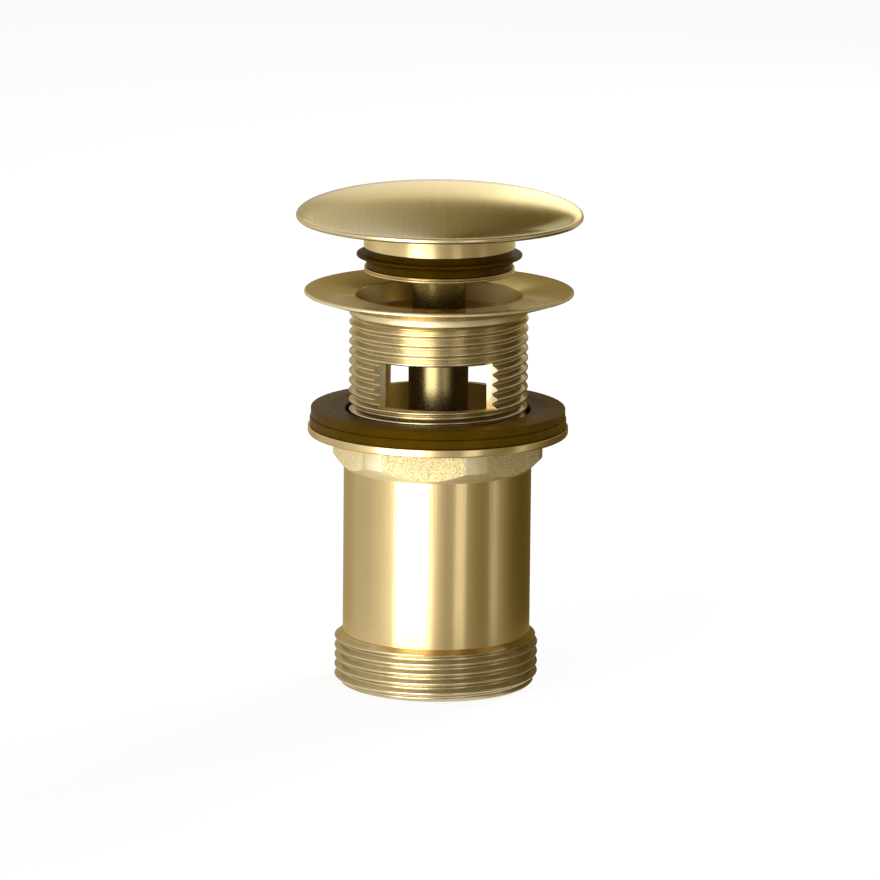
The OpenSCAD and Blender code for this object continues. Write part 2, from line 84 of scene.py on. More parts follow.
def length(name, mm, description):
    """A size that the sidebar shows in the scene's units."""
    return bpy.props.FloatProperty(name=name, description=description, default=mm * MM, min=0.0,
                                   unit="LENGTH", precision=5)


def turn(name, degrees, description):
    """An angle about the waste's axis."""
    return bpy.props.FloatProperty(name=name, description=description, default=math.radians(degrees),
                                   subtype="ANGLE")


def colour(name, code, description):
    """A base colour, written as sRGB hex."""
    return bpy.props.FloatVectorProperty(name=name, description=description, default=linear(code), size=4,
                                         min=0.0, max=1.0, subtype="COLOR")


def rim(node):
    """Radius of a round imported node, in millimetres."""
    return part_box(node)[1].x / MM


def low(node):
    """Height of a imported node's foot, in millimetres."""
    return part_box(node)[0].z / MM


def high(node):
    """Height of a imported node's top, in millimetres."""
    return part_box(node)[1].z / MM


def span(node):
    """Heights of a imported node's foot and top, in millimetres."""
    return low(node), high(node)


class BasinWasteSizes(bpy.types.PropertyGroup):
    """Sizes of the waste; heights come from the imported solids."""
    thread_pitch: length("Thread pitch", 2.309, "Rise of both pipe threads in one turn")
    neck_r: length("Neck thread", 20.955, "Radius over the crests of the neck's thread")
    tail_r: length("Tail thread", 23.9, "Radius over the crests of the tail's thread")
    neck_phase: length("Neck thread start", 2.16, "Height that the neck's thread is turned up by")
    tail_phase: length("Tail thread start", 1.51, "Height that the tail's thread is turned up by")
    relief_r: length("Relief", 20.75, "Radius of the plain relief under the flange")
    root_round: length("Flange root", 2.0, "Hollow round between the relief and the flange")
    flange_r: length("Flange", rim("waste_body"), "Radius of the flange")
    mouth_r: length("Mouth", 19.45, "Radius of the mouth, which is the seal's seat")
    bore_r: length("Neck bore", 18.1, "Radius of the bore through the neck")
    cutter_r: length("Window cutter", 26.0, "Radius of the disc cutter that opens an overflow window")
    cutter_y: length("Cutter distance", 37.0, "Distance of that cutter's centre from the axis")
    window_turn: turn("Window turn", -2.0, "Turn of the overflow windows about the axis")
    tube_r: length("Tube", 22.0, "Radius of the tail tube")
    outlet_r: length("Outlet", 20.5, "Radius of the outlet bore")
    socket_r: length("Socket", 21.055, "Radius of the tail's socket for the neck")
    collar_r: length("Collar", rim("tail_piece"), "Radius of the collar on the hexagon")
    hex_flat_r: length("Hexagon flats", 22.5, "Distance from the axis to a flat of the hexagon")
    hex_corner_r: length("Hexagon corners", 24.58, "Radius that the hexagon's corners are turned to")
    hex_turn: turn("Hexagon turn", -8.5, "Turn of the hexagon about the axis")
    washer_r: length("Washers", rim("sealing_washer"), "Radius of the two washers")
    washer_hole_r: length("Washer hole", 21.705, "Radius of the washers' hole")
    dome_r: length("Dome", rim("dome_cap"), "Radius of the domed cap")
    dome_ball_r: length("Dome sphere", 137.64, "Radius of the sphere that the dome's inside is cut from")
    dome_wall: length("Dome wall", 2.0, "Thickness of the domed shell")
    skirt_r: length("Skirt", rim("plug_body"), "Radius of the plug's skirt")
    spigot_r: length("Spigot", 13.0, "Radius of the spigot that carries the seal")
    seal_r: length("Seal", 17.0, "Radius of the seal without its lip")
    lip_r: length("Seal lip", rim("plug_seal"), "Radius of the seal's lip")
    retainer_r: length("Retainer", rim("seal_retainer"), "Radius of the ring that holds the seal")
    plunger_r: length("Plunger", rim("plunger"), "Radius of the plunger")
    housing_r: length("Housing", rim("cartridge_housing"), "Radius of the cartridge's housing")
    housing_bore_r: length("Housing bore", 6.3, "Radius of the housing's bore")
    stud_hole_r: length("Stud hole", 4.1, "Radius of the holes that take the studs")
    spring_r: length("Spring", 2.9, "Radius of the spring at the middle of its wire")
    wire_r: length("Spring wire", 0.35, "Radius of the spring's wire")


class BasinWasteColours(bpy.types.PropertyGroup):
    """Base colours of the finishes."""
    brushed_brass: colour("Brushed brass", "#d8c69a", "Dome, brushed straight from front to back")
    turned_brass: colour("Turned brass", "#d9bf88", "Flange, neck, tube and plug, as the lathe left them")
    cut_brass: colour("Cut brass", "#d0c2a0", "Threads, windows and the tail's bore")
    # The faced brass is paler than the turned brass as a painted highlight on the rim, the band and the
    # hexagon's corners.
    faced_brass_painted_highlight: colour("Faced brass", "#e6d8b0", "Flange's rim and band, and the hexagon's corners")
    # The bored brass is darker than the turned brass as painted shade in the mouth and bore.
    bored_brass_painted_shade: colour("Bored brass", "#cdb780", "Mouth and bore of the neck")
    drawn_brass: colour("Drawn brass", "#98885e", "The cartridge's housing")
    # The plunger's brass is darker and browner as painted shade, for it stands in shade under the plug.
    rolled_brass_painted_shade: colour("Rolled brass", "#8c7a48", "The plunger")
    cast_brass: colour("Cast brass", "#e0d3aa", "Flats of the hexagon, as cast and blasted")
    edge_brass: colour("Brass at a glance", "#fbeecb", "Tint of brass that is seen along its surface")
    rubber: colour("Rubber", "#453103", "Sealing washer and the two seals")
    polymer: colour("Polymer", "#473303", "Friction washer")
    rubber_sheen: colour("Rubber sheen", "#c39c46", "Tint of the rubber's own reflections")
    acetal: colour("Acetal", "#e8e4d2", "Cam ring")
    steel: colour("Steel", "#bdbcb6", "Spring and its seat, balls, clip, stud and lock washer")
    floor: colour("Floor", "#f4f4f4", "Floor under the part")


# Modelling, as by hand

def sizes():
    """The sidebar's lengths in millimetres, and its angles as they are."""
    group = bpy.context.scene.basin_waste_sizes
    kinds = {p.identifier: p for p in group.bl_rna.properties}
    return SimpleNamespace(**{name: getattr(group, name) / (MM if kinds[name].unit == "LENGTH" else 1)
                              for name in group.__annotations__})


def deselect():
    """Leaves nothing selected, so that an operator acts only on what comes next."""
    bpy.ops.object.select_all(action="DESELECT")


def settle():
    """Puts the selected object's place, turn and size into its mesh."""
    bpy.ops.object.transform_apply(location=True, rotation=True, scale=True)


def pick(obj):
    """Leaves only this object selected and active."""
    deselect()
    obj.select_set(True)
    bpy.context.view_layer.objects.active = obj


def named(name):
    """The object that was just added, under its own name."""
    obj = bpy.context.object
    obj.name = obj.data.name = name
    return obj


def rounded(*corners, steps=5):
    """Points of an outline whose corners are (radius, height) or (radius, height, round)."""
    points = []
    for i, (r, z, *fillet) in enumerate(corners):
        here = Vector((r, z))
        if not fillet:
            points.append(here)
            continue
        back = (Vector(corners[i - 1][:2]) - here).normalized()
        on = (Vector(corners[(i + 1) % len(corners)][:2]) - here).normalized()
        half = back.angle(on) / 2
        centre = here + (back + on).normalized() * (fillet[0] / math.sin(half))
        start = here + back * (fillet[0] / math.tan(half)) - centre
        end = here + on * (fillet[0] / math.tan(half)) - centre
        first = math.atan2(start.y, start.x)
        sweep = math.remainder(math.atan2(end.y, end.x) - first, math.tau)
        for k in range(steps + 1):
            a = first + sweep * k / steps
            points.append(centre + fillet[0] * Vector((math.cos(a), math.sin(a))))
    return points


def arc(centre, radius, first, last, steps):
    """Points of an arc in the half section, angles in degrees from the radius outwards."""
    angles = (math.radians(first + (last - first) * k / steps) for k in range(steps + 1))
    return [Vector(centre) + radius * Vector((math.cos(a), math.sin(a))) for a in angles]


def extrude(x, z):
    """Extrudes what is selected by so many millimetres."""
    bpy.ops.mesh.extrude_region_move(
        TRANSFORM_OT_translate={"value": (x * MM, 0, z * MM), "orient_type": "GLOBAL"})


def draw(name, outline, closed):
    """Draws an outline in the XZ plane, point by point, from one vertex. Leaves edit mode on."""
    deselect()
    bpy.ops.mesh.primitive_plane_add(size=MM)
    obj = named(name)
    bpy.ops.object.mode_set(mode="EDIT")
    bpy.ops.mesh.select_mode(type="VERT")
    bpy.ops.mesh.select_all(action="SELECT")
    bpy.ops.mesh.merge(type="CENTER")
    x, z = outline[0]
    bpy.ops.transform.translate(value=(x * MM, 0, z * MM))
    for next_x, next_z in outline[1:]:
        extrude(next_x - x, next_z - z)
        x, z = next_x, next_z
    if closed:
        points = bmesh.from_edit_mesh(obj.data)
        for vertex in points.verts:
            vertex.select_set(len(vertex.link_edges) == 1)
        bmesh.update_edit_mesh(obj.data)
        bpy.ops.mesh.edge_face_add()
    bpy.ops.mesh.select_all(action="SELECT")
    return obj


def close_up():
    """Merges doubles and turns the faces outwards, in edit mode, and leaves it."""
    bpy.ops.mesh.select_all(action="SELECT")
    bpy.ops.mesh.remove_doubles(threshold=WELD)
    bpy.ops.mesh.normals_make_consistent(inside=False)
    bpy.ops.object.mode_set(mode="OBJECT")


def turned(name, outline, steps=TURN_STEPS):
    """Spins an outline round the axis. One that starts and ends on the axis needs no closing edge."""
    on_axis = outline[0][0] == 0 and outline[-1][0] == 0
    obj = draw(name, outline, not on_axis)
    bpy.ops.mesh.spin(steps=steps, angle=math.tau, center=(0, 0, 0), axis=(0, 0, 1))
    close_up()
    return obj


def apply_modifier(obj, kind, **settings):
    """Adds a modifier with its settings and applies it."""
    pick(obj)
    bpy.ops.object.modifier_add(type=kind)
    modifier = obj.modifiers[-1]
    for name, value in settings.items():
        setattr(modifier, name, value)
    bpy.ops.object.modifier_apply(modifier=modifier.name)


def carve(obj, tool, operation="DIFFERENCE"):
    """Cuts with, joins or keeps what lies within another solid, which is then gone."""
    apply_modifier(obj, "BOOLEAN", operation=operation, object=tool, solver="MANIFOLD")
    bpy.data.objects.remove(tool)
    if not obj.data.polygons:
        raise RuntimeError(f"{obj.name}: nothing is left after {operation}")


def thread_outline(crest_r, pitch):
    """One pitch of a 55 degree pipe thread from root to root, with rounded crest and roots."""
    bend = THREAD_ROUND * pitch
    root = crest_r - THREAD_DEPTH * pitch + bend
    crest = crest_r - bend
    return (arc((root, 0), bend, 180, 180 - FLANK_TURN, 3)
            + arc((crest, pitch / 2), bend, -FLANK_TURN, FLANK_TURN, 6)
            + arc((root, pitch), bend, 180 + FLANK_TURN, 180, 3))


def wind(obj, pitch, turns, steps):
    """Screws an outline up the axis."""
    apply_modifier(obj, "SCREW", angle=math.tau, screw_offset=pitch * MM, iterations=turns, steps=steps,
                   render_steps=steps, use_merge_vertices=True, merge_threshold=WELD)


def threaded_rod(name, crest_r, pitch, phase, foot, top, keep):
    """Screws one pitch up the axis, cuts the rod square and turns its ends down.

    keep(height) gives the least and the most radius that the blank leaves there."""
    spare_below, spare_above = 3, 2     # turns that are cut off again
    start = foot - spare_below * pitch + phase
    obj = draw(name, [(r, z + start) for r, z in thread_outline(crest_r, pitch)], False)
    bpy.ops.object.mode_set(mode="OBJECT")
    turns = spare_below + math.ceil((top - foot) / pitch) + spare_above
    wind(obj, pitch, turns, THREAD_STEPS)
    bpy.ops.object.mode_set(mode="EDIT")
    for height, up in ((foot, -1), (top, 1)):
        bpy.ops.mesh.select_all(action="SELECT")
        bpy.ops.mesh.remove_doubles(threshold=WELD)
        bpy.ops.mesh.select_all(action="SELECT")
        bpy.ops.mesh.bisect(plane_co=(0, 0, height * MM), plane_no=(0, 0, up), use_fill=True,
                            clear_outer=True, threshold=WELD / 10)
    close_up()
    for vertex in obj.data.vertices:
        least, most = keep(vertex.co.z / MM)
        r = vertex.co.xy.length / MM
        vertex.co.xy *= min(max(r, least), most) / r
    return obj


def grow(obj, outline):
    """Draws the rod's top face on along an outline, ring by ring."""
    pick(obj)
    bpy.ops.object.mode_set(mode="EDIT")
    bpy.ops.mesh.select_mode(type="FACE")
    top = max(vertex.co.z for vertex in obj.data.vertices)
    for face in bmesh.from_edit_mesh(obj.data).faces:
        face.select_set(all(top - vertex.co.z < 2 * WELD for vertex in face.verts))
    bmesh.update_edit_mesh(obj.data)
    bpy.ops.mesh.dissolve_faces()
    r, z = outline[0]
    for next_r, next_z in outline[1:]:
        extrude(0, next_z - z)
        bpy.ops.transform.resize(value=(next_r / r, next_r / r, 1), center_override=(0, 0, 0))
        r, z = next_r, next_z
    close_up()


def cylinder(name, radius, foot, top, sides=TURN_STEPS, centre=(0, 0), angle=0.0):
    """An upright cylinder or prism with its place in its mesh."""
    deselect()
    bpy.ops.mesh.primitive_cylinder_add(vertices=sides, radius=radius * MM, depth=(top - foot) * MM,
                                        location=(centre[0] * MM, centre[1] * MM, (foot + top) / 2 * MM),
                                        rotation=(0, 0, angle))
    obj = named(name)
    settle()
    return obj


def place(obj, body, slot, materials, *nodes):
    """Finishes a piece: soft shading, materials, the body it rides on and the solids it stands for."""
    pick(obj)
    bpy.ops.object.shade_smooth_by_angle(angle=SMOOTH)
    obj.data.materials.clear()
    obj.data.polygons.foreach_set("material_index", [0] * len(obj.data.polygons))
    for material in materials:
        obj.data.materials.append(material)
    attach(obj, body)
    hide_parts(*nodes)


# Materials

def node(tree, kind, inputs=None, **settings):
    """Adds a node with its settings; an input is a value or another node's output."""
    new = tree.nodes.new(kind)
    for name, value in settings.items():
        setattr(new, name, value)
    for socket, value in (inputs or {}).items():
        if isinstance(value, bpy.types.NodeSocket):
            tree.links.new(value, new.inputs[socket])
        else:
            new.inputs[socket].default_value = value
    return new


def emptied(owner):
    """The node tree of a material or world, with nothing in it."""
    owner.use_nodes = True
    owner.node_tree.nodes.clear()
    return owner.node_tree


def shaded(name, build, **constants):
    """A material whose build function returns the inputs that vary over the surface."""
    material = bpy.data.materials.get(name)
    if material:
        return material
    material = bpy.data.materials.new(name)
    tree = emptied(material)
    shader = node(tree, "ShaderNodeBsdfPrincipled", {**constants, **build(tree)})
    node(tree, "ShaderNodeOutputMaterial", {"Surface": shader.outputs["BSDF"]})
    return material


def palette():
    """The sidebar's colours."""
    return bpy.context.scene.basin_waste_colours


def tinted(base, share):
    """The same colour, darker or lighter by a share."""
    return tuple(min(1.0, c * share) for c in base[:3]) + (1.0,)


def turned_lines(tree, spacing):
    """Noise that runs round the axis on any turned face, with lines about one spacing apart."""
    point = node(tree, "ShaderNodeTexCoord").outputs["Object"]
    axes = node(tree, "ShaderNodeSeparateXYZ", {"Vector": point}).outputs
    flat = node(tree, "ShaderNodeCombineXYZ", {"X": axes["X"], "Y": axes["Y"]}).outputs["Vector"]
    radius = node(tree, "ShaderNodeVectorMath", {0: flat}, operation="LENGTH").outputs["Value"]
    section = node(tree, "ShaderNodeCombineXYZ", {"X": radius, "Y": axes["Z"]}).outputs["Vector"]
    lines = node(tree, "ShaderNodeTexNoise", {"Vector": section, "Scale": 1 / spacing, "Detail": 3.0,
                                              "Roughness": 0.65}, noise_dimensions="2D")
    return point, lines.outputs["Fac"]


def clouded(tree, point, lines, size, detail):
    """The tone of lines with clouds of that size over them."""
    clouds = node(tree, "ShaderNodeTexNoise", {"Vector": point, "Scale": 1 / size, "Detail": detail})
    tone = node(tree, "ShaderNodeMath", {0: lines, 1: clouds.outputs["Fac"]}, operation="ADD")
    return node(tree, "ShaderNodeMapRange", {"Value": tone.outputs["Value"], "From Min": 0.6,
                                             "From Max": 1.4}).outputs["Result"]


def worked(tree, base, tone, shades, marks, rough, relief=None):
    """Shader inputs of a worked surface.

    shades are two pairs of tone and share of the base colour. The marks of the work take the roughness from
    the first to the second of rough, and stand out by relief, which is a strength and a depth."""
    tint = node(tree, "ShaderNodeValToRGB", {"Fac": tone})
    for stop, (at, share) in zip(tint.color_ramp.elements, shades):
        stop.position = at
        stop.color = tinted(base, share)
    roughness = node(tree, "ShaderNodeMapRange", {"Value": marks, "From Min": 0.3, "From Max": 0.7,
                                                  "To Min": rough[0], "To Max": rough[1]})
    inputs = {"Base Color": tint.outputs["Color"], "Roughness": roughness.outputs["Result"]}
    if relief:
        strength, depth = relief
        bump = node(tree, "ShaderNodeBump", {"Strength": strength, "Distance": depth, "Height": marks})
        inputs["Normal"] = bump.outputs["Normal"]
    return inputs


def brass(name, build, **constants):
    """A brass finish: metal that keeps its warm tint along its edges too."""
    edge = tuple(palette().edge_brass)
    return shaded(name, build, **{"Metallic": 1.0, "Specular Tint": edge, **constants})


def turned_brass(name="lathe_turned_brass", base=None, rough=0.18):
    """Brass, turned on a lathe and satin polished: faint rings, and glints drawn out up and down."""
    base = tuple(base or palette().turned_brass)

    def build(tree):
        # Polishing marks are about 0.05 mm apart; they are drawn 0.2 mm apart so that they show.
        point, lines = turned_lines(tree, 0.2 * MM)
        tone = clouded(tree, point, lines, 7 * MM, detail=2.0)
        return worked(tree, base, tone, shades=((0, 0.95), (1, 1.03)), marks=lines,
                      rough=(rough, rough + 0.08), relief=(0.05, 0.02 * MM))

    return brass(name, build, **{"Anisotropic": 0.9, "Anisotropic Rotation": 0.25})


def bored_brass_painted_shade():
    """Brass, bored out and not polished: the same rings from within, duller; its darker base colour is
    painted shade for the mouth and bore.
    """
    return turned_brass("bored_out_brass_painted_shade", palette().bored_brass_painted_shade, 0.36)


def cut_brass(name="tool_cut_brass", base=None, rough=0.16):
    """Brass, cut with a tool and left so: tool rings, crisp glints on the crests and a dull tarnish."""
    base = tuple(base or palette().cut_brass)

    def build(tree):
        # A threading tool's marks are about 0.1 mm apart; they are drawn 0.25 mm apart so that they show.
        point, lines = turned_lines(tree, 0.25 * MM)
        tone = clouded(tree, point, lines, 2.5 * MM, detail=3.0)
        return worked(tree, base, tone, shades=((0, 0.82), (1, 1.06)), marks=lines,
                      rough=(rough, rough + 0.12), relief=(0.15, 0.03 * MM))

    return brass(name, build, **{"Anisotropic": 0.3, "Anisotropic Rotation": 0.25})


def faced_brass_painted_highlight():
    """Brass, faced with a broad tool: dull, so that it gathers the light of all the room; its pale base
    colour is a painted highlight.
    """
    return cut_brass("faced_brass_painted_highlight", palette().faced_brass_painted_highlight, 0.42)


def drawn_brass(name="drawn_brass_tube", base=None):
    """Brass tube, drawn and left bright: a pebbled skin that breaks a glint into grains."""
    base = tuple(base or palette().drawn_brass)

    def build(tree):
        # The skin's grains are about 0.1 mm wide; they are drawn 0.3 mm wide so that they show.
        point = node(tree, "ShaderNodeTexCoord").outputs["Object"]
        grain = node(tree, "ShaderNodeTexNoise", {"Vector": point, "Scale": 1 / (0.3 * MM),
                                                  "Detail": 2.0}).outputs["Fac"]
        return worked(tree, base, grain, shades=((0.3, 0.85), (0.7, 1.04)), marks=grain,
                      rough=(0.22, 0.34), relief=(0.22, 0.04 * MM))

    return brass(name, build)


def rolled_brass_painted_shade():
    """Brass rod, drawn and thread-rolled: the same grains; its darker, browner base colour is painted shade
    for the plunger under the plug.
    """
    return drawn_brass("rolled_brass_rod_painted_shade", palette().rolled_brass_painted_shade)


def brushed_brass():
    """Brass, brushed straight with a fine belt: long hairlines from front to back over a satin sheen."""
    base = tuple(palette().brushed_brass)

    def build(tree):
        # Belt hairlines, 0.05 mm wide and 25 mm long, drawn 0.18 mm wide so that they show; they run straight
        # as seen from above, a little off the front.
        point = node(tree, "ShaderNodeTexCoord").outputs["Object"]
        along = node(tree, "ShaderNodeMapping", {
            "Vector": point, "Rotation": (0, 0, math.radians(-9)),
            "Scale": (1 / (0.18 * MM), 1 / (25 * MM), 0)}).outputs["Vector"]
        hairs = node(tree, "ShaderNodeTexNoise", {"Vector": along, "Scale": 1.0, "Detail": 4.0,
                                                  "Roughness": 0.7}, noise_dimensions="2D").outputs["Fac"]
        return worked(tree, base, hairs, shades=((0.25, 0.88), (0.75, 1.06)), marks=hairs,
                      rough=(0.17, 0.25), relief=(0.1, 0.02 * MM))

    return brass("belt_brushed_brass", build)


def cast_brass():
    """Brass, sand-cast and blasted: a grain of small pits and bright grains that scatters the light."""
    base = tuple(palette().cast_brass)

    def build(tree):
        # Moulding sand leaves pits of about 0.36 mm.
        point = node(tree, "ShaderNodeTexCoord").outputs["Object"]
        grain = node(tree, "ShaderNodeTexNoise", {"Vector": point, "Scale": 1 / (0.36 * MM), "Detail": 2.0,
                                                  "Roughness": 0.6}).outputs["Fac"]
        return worked(tree, base, grain, shades=((0.34, 0.7), (0.58, 1.05)), marks=grain,
                      rough=(0.95, 0.78), relief=(0.8, 0.2 * MM))

    return brass("sand_cast_brass", build)


def moulded(name, base, rough, grit):
    """Moulded in a blasted tool: a fine matt grit, faint clouds of bloom and a soft sheen."""
    base = tuple(base)

    def build(tree):
        # The tool's grit is about 0.1 mm; it is drawn two to four times as coarse so that it shows.
        point = node(tree, "ShaderNodeTexCoord").outputs["Object"]
        grain = node(tree, "ShaderNodeTexNoise", {"Vector": point, "Scale": 1 / grit,
                                                  "Detail": 2.0}).outputs["Fac"]
        bloom = node(tree, "ShaderNodeTexNoise", {"Vector": point, "Scale": 1 / (5 * MM), "Detail": 3.0,
                                                  "Roughness": 0.6}).outputs["Fac"]
        return worked(tree, base, bloom, shades=((0.3, 0.82), (0.7, 1.22)), marks=grain,
                      rough=(rough - 0.07, rough + 0.07), relief=(0.25, 0.03 * MM))

    sheen = tuple(palette().rubber_sheen)
    return shaded(name, build, **{"Specular IOR Level": 0.04, "Specular Tint": sheen})


def moulded_rubber():
    """Nitrile rubber, moulded: dark and matt."""
    return moulded("moulded_rubber", palette().rubber, 0.38, 0.35 * MM)


def moulded_polymer():
    """Filled polypropylene, moulded: as dark as the rubber, with a coarser grit."""
    return moulded("moulded_polymer", palette().polymer, 0.38, 0.4 * MM)


def machined_acetal():
    """Acetal, machined: off-white and waxy."""
    return moulded("machined_acetal", palette().acetal, 0.35, 0.25 * MM)


def drawn_steel():
    """Stainless steel, drawn and ground: faint rings and a cool, clear glint."""
    base = tuple(palette().steel)

    def build(tree):
        # Grinding marks are about 0.05 mm apart; they are drawn 0.2 mm apart so that they show.
        lines = turned_lines(tree, 0.2 * MM)[1]
        return worked(tree, base, lines, shades=((0, 0.86), (1, 1.06)), marks=lines, rough=(0.18, 0.32))

    return shaded("drawn_steel", build, **{"Metallic": 1.0})


# Pieces

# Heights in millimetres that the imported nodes' boxes don't give.
FLANGE_SEAT_Z = 90.4
MOUTH_Z = 92.35             # edge of the mouth, below the flange's rim
SEAT_Z = 87.6               # foot of the seal's seat
THREAD_TOP_Z = 88.3
WINDOW_Z = (68.1, 78.8)
SPIDER_TOP_Z = 48.05
TAIL_THREAD_TOP_Z = 12.3
OUTLET_TOP_Z = 30.0         # shoulder that stops the neck in the tail's socket
HEX_Z = 51.7                # foot of the hexagon
COLLAR_Z = 59.5             # foot of the collar
PLUNGER_CROWN_Z = 93.8      # where the plunger's bore ends and the stud's hole starts
CAM_ROOM_Z = 70.15          # top of the room for the cam ring
SEAL_GROOVE_Z = (72.55, 73.75)
CLIP_GROOVE_Z = (64.45, 65.45)
SPRING_Z = (72.5, 93.0)


class BASINWASTE_OT_waste_body(bpy.types.Operator):
    """Turn the flange and the threaded neck, cut the overflow windows and set in the spider"""
    bl_idname = "basin_waste.waste_body"
    bl_label = "Flange and neck"

    def execute(self, context):
        s = sizes()
        foot, top = span("waste_body")
        thread_root = s.neck_r - THREAD_DEPTH * s.thread_pitch
        run_out, bevel = 0.6 * s.thread_pitch, 0.1

        def keep(z):
            """The last turns run out into the relief, and the foot is bevelled below the thread's root."""
            fade = min(max((z - (THREAD_TOP_Z - run_out)) / run_out, 0), 1)
            least = thread_root + (s.relief_r - thread_root) * fade ** 2 if fade else 0
            most = min(s.neck_r, thread_root - bevel + z - foot, s.relief_r + max(THREAD_TOP_Z - z, 0))
            return min(least, most), most

        body = threaded_rod("waste_body_shell", s.neck_r, s.thread_pitch, s.neck_phase, foot, THREAD_TOP_Z,
                            keep)
        round_r, seat_w, rim_h = s.relief_r + s.root_round, 1.5, 0.75
        grow(body, [Vector((s.relief_r, THREAD_TOP_Z))]
             + arc((round_r, FLANGE_SEAT_Z - s.root_round), s.root_round, 180, 90, 10)
             + rounded((round_r, FLANGE_SEAT_Z), (round_r + seat_w, FLANGE_SEAT_Z, 0.4),
                       (s.flange_r, top - rim_h, 0.25), (s.flange_r, top, 0.35),
                       (s.mouth_r - 0.5, MOUTH_Z - 0.05))[1:])
        seat_step, below, above, edge_r = s.mouth_r - s.bore_r, foot - 1, top + 2, s.mouth_r + 0.4
        carve(body, turned("neck_bore", [
            (0, below), (s.bore_r, below), (s.bore_r, SEAT_Z - seat_step), (s.mouth_r, SEAT_Z),
            (s.mouth_r, MOUTH_Z - 0.35), (s.mouth_r + 0.1, MOUTH_Z - 0.12), (edge_r, MOUTH_Z + 0.1),
            (edge_r, above), (0, above)]))
        for side in (0, math.pi):
            angle = s.window_turn + side - math.pi / 2
            carve(body, cylinder("window_cutter", s.cutter_r, *WINDOW_Z,
                                 centre=(s.cutter_y * math.cos(angle), s.cutter_y * math.sin(angle))))
        self.spider(body, s, foot)
        place(body, "body", "turned_brass", [turned_brass(), cut_brass(), bored_brass_painted_shade(), faced_brass_painted_highlight()],
              "waste_body")
        near = 0.2
        for face in body.data.polygons:
            reach, z = face.center.xy.length / MM, face.center.z / MM
            inside = reach < s.mouth_r + near and z < MOUTH_Z - near
            # Faces in the mouth and bore take the darker bored brass, which is painted shade.
            bored = inside and face.normal.xy.dot(face.center.xy) < 0
            band = THREAD_TOP_Z < z < FLANGE_SEAT_Z + near / 2
            # The flange's rim and the band under it take the pale faced brass, whose paleness is a painted
            # highlight.
            faced = not inside and (band or reach > s.flange_r - 2 * near)
            # Places in the list of materials above
            face.material_index = 2 if bored else 3 if faced else int(inside or z < THREAD_TOP_Z)
        return {"FINISHED"}

    def spider(self, body, s, foot):
        """Hub with three arms, cast in one with the neck."""
        hub_r, arm_w, set_back = s.stud_hole_r + 2.9, 3.2, 0.02
        hub = turned("spider_hub", rounded(
            (s.stud_hole_r, foot, 0.3), (hub_r, foot, 0.4), (hub_r, SPIDER_TOP_Z, 0.4),
            (s.stud_hole_r, SPIDER_TOP_Z, 0.3)))
        inner, outer = hub_r - 0.8, s.bore_r + 0.5      # sunk into the hub and into the neck
        middle, middle_z = (inner + outer) / 2 * MM, (SPIDER_TOP_Z + foot) / 2 * MM
        for i in range(3):
            deselect()
            bpy.ops.mesh.primitive_cube_add(size=MM)
            arm = bpy.context.object
            angle = math.radians(90 + 120 * i)
            arm.dimensions = ((outer - inner) * MM, arm_w * MM, (SPIDER_TOP_Z - foot - set_back) * MM)
            arm.location = (middle * math.cos(angle), middle * math.sin(angle), middle_z)
            arm.rotation_euler.z = angle
            pick(arm)
            settle()
            apply_modifier(arm, "BEVEL", width=0.5 * MM, segments=3)
            carve(hub, arm, "UNION")
        carve(body, hub, "UNION")


class BASINWASTE_OT_tail_piece(bpy.types.Operator):
    """Turn the tail thread, tube and collar, join the hexagon and bore them through"""
    bl_idname = "basin_waste.tail_piece"
    bl_label = "Tail piece"

    def execute(self, context):
        s = sizes()
        top = high("tail_piece")
        thread_root = s.tail_r - THREAD_DEPTH * s.thread_pitch
        slope, bevel = 2.0, 0.05

        def keep(z):
            """The end is bevelled below the thread's root, and the shoulder falls to the tube."""
            return 0, min(s.tail_r, thread_root - bevel + z, s.tube_r + max(TAIL_THREAD_TOP_Z - z, 0) * slope)

        tail = threaded_rod("tail_piece_shell", s.tail_r, s.thread_pitch, s.tail_phase, 0, TAIL_THREAD_TOP_Z,
                            keep)
        grow(tail, rounded((s.tube_r, TAIL_THREAD_TOP_Z), (s.tube_r, COLLAR_Z), (s.collar_r, COLLAR_Z, 0.55),
                           (s.collar_r, top, 0.25), (s.outlet_r, top)))
        sixth, sunk = math.pi / 6, 0.2      # the blank's foot is sunk into the tube, its top into the collar
        sides = cylinder("hexagon", s.hex_flat_r / math.cos(sixth), HEX_Z - 1, COLLAR_Z + 0.5, sides=6,
                         angle=s.hex_turn - sixth)
        blank_z, rise = (HEX_Z - sunk, COLLAR_Z + 2 * sunk), s.hex_corner_r - s.tube_r
        blank = turned("hexagon_blank", [
            (0, blank_z[0]), (s.tube_r - sunk, blank_z[0]), (s.hex_corner_r, HEX_Z + rise),
            (s.hex_corner_r, blank_z[1]), (0, blank_z[1])])
        carve(sides, blank, "INTERSECT")
        carve(tail, sides, "UNION")
        lead_r, below, above = s.socket_r + 0.5, -1, top + 1
        carve(tail, turned("tail_bore", [
            (0, below), (s.outlet_r + 1.4, below), (s.outlet_r, 0.4), (s.outlet_r, OUTLET_TOP_Z),
            (s.socket_r, OUTLET_TOP_Z), (s.socket_r, top - 0.3), (lead_r, top + 0.2), (lead_r, above),
            (0, above)]))
        place(tail, "tail", "cast_brass", [turned_brass(), cut_brass(), cast_brass(), faced_brass_painted_highlight()],
              "tail_piece")
        close = 0.02
        for face in tail.data.polygons:
            z = face.center.z / MM
            out = face.normal.xy.dot(face.center.xy) / MM
            # The hexagon's corners take the pale faced brass, whose paleness is a painted highlight; its
            # flats take the cast brass.
            hexagon = blank_z[0] < z < COLLAR_Z and out > 0 and face.center.xy.length / MM > s.tube_r + 0.05
            flat = hexagon and abs(face.normal.z) < close and abs(out - s.hex_flat_r) < close
            cut = z < TAIL_THREAD_TOP_Z - 0.9 or out < -1
            # Places in the list of materials above
            face.material_index = 2 if flat else 3 if hexagon else int(cut)
        return {"FINISHED"}


